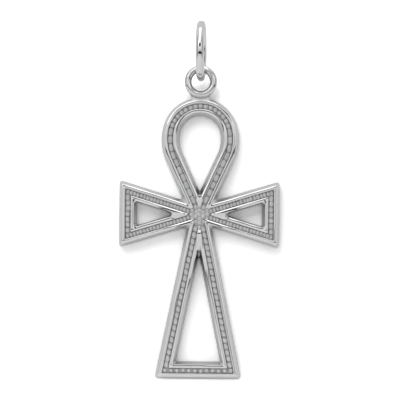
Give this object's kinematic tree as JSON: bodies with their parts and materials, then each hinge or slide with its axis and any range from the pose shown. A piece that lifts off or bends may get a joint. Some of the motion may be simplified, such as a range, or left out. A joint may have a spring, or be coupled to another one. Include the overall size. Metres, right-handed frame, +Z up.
{
  "type": "ankh pendant on a jump ring",
  "caption": "Cast openwork ankh pendant with grained grooves between polished rims, swinging on a jump ring by a soldered loop.",
  "frame": {"origin": "top of the jump ring's inside, where a chain or cord carries the pendant", "axes": "+Z up, along the length of the pendant; -Y is the way the decorated face looks; +X to the right as seen from its front"},
  "size_m": [0.0144, 0.0054, 0.0323],
  "materials": {
    "cast_silver": "polished white metal, with a matt grained floor in its grooves",
    "ring_wire": "polished white metal wire"
  },
  "bodies": {
    "jump_ring": {"jump_ring": "ring_wire"},
    "ankh": {"ankh": "cast_silver"}
  },
  "joints": [
    {"name": "pendant_swing", "type": "hinge", "parent": "jump_ring", "child": "ankh", "pos_m": [0, 0, -0.00438], "axis": [0, 1, 0], "range_deg": [-90, 90]}
  ]
}
